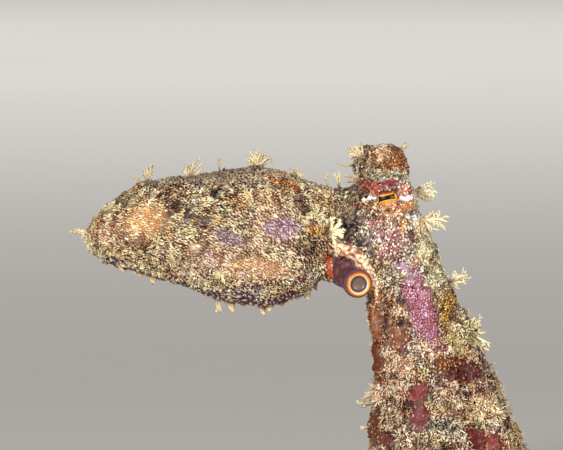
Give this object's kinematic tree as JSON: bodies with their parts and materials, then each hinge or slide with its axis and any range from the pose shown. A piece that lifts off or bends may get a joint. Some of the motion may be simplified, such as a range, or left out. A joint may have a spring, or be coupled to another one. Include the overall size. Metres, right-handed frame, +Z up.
{
  "type": "octopus",
  "caption": "Small reef octopus standing tall on spread arms, mantle held out level behind the raised eyes, funnel turned to its right side, skin covered with fleshy papillae.",
  "frame": {"origin": "middle of the whole animal's box, on the floor it stands on", "axes": "+Z up, +X the way the head faces, mantle along -X, right eye towards -Y"},
  "size_m": [0.2976, 0.2882, 0.0813],
  "materials": {
    "mantle_skin": "wet skin with pale granules over brown and violet",
    "head_skin": "wet skin, mottled orange, magenta and cream",
    "funnel_skin": "smooth wet skin, purple brown with an orange rim",
    "arm_skin": "wet skin, cream tufts over red brown",
    "eye": "glossy, with a dark bar pupil in a yellow orange ring"
  },
  "bodies": {
    "root": {"mantle": "mantle_skin", "head": "head_skin", "funnel": "funnel_skin", "web": "arm_skin", "eye_right": "eye", "eye_left": "eye", "arm_R1_upper": "arm_skin", "arm_R1_middle": "arm_skin", "arm_R1_tip": "arm_skin", "arm_R2_upper": "arm_skin", "arm_R2_middle": "arm_skin", "arm_R2_tip": "arm_skin", "arm_R3_upper": "arm_skin", "arm_R3_middle": "arm_skin", "arm_R3_tip": "arm_skin", "arm_R4_upper": "arm_skin", "arm_R4_middle": "arm_skin", "arm_R4_tip": "arm_skin", "arm_L4_upper": "arm_skin", "arm_L4_middle": "arm_skin", "arm_L4_tip": "arm_skin", "arm_L3_upper": "arm_skin", "arm_L3_middle": "arm_skin", "arm_L3_tip": "arm_skin", "arm_L2_upper": "arm_skin", "arm_L2_middle": "arm_skin", "arm_L2_tip": "arm_skin", "arm_L1_upper": "arm_skin", "arm_L1_middle": "arm_skin", "arm_L1_tip": "arm_skin"}
  },
  "joints": []
}
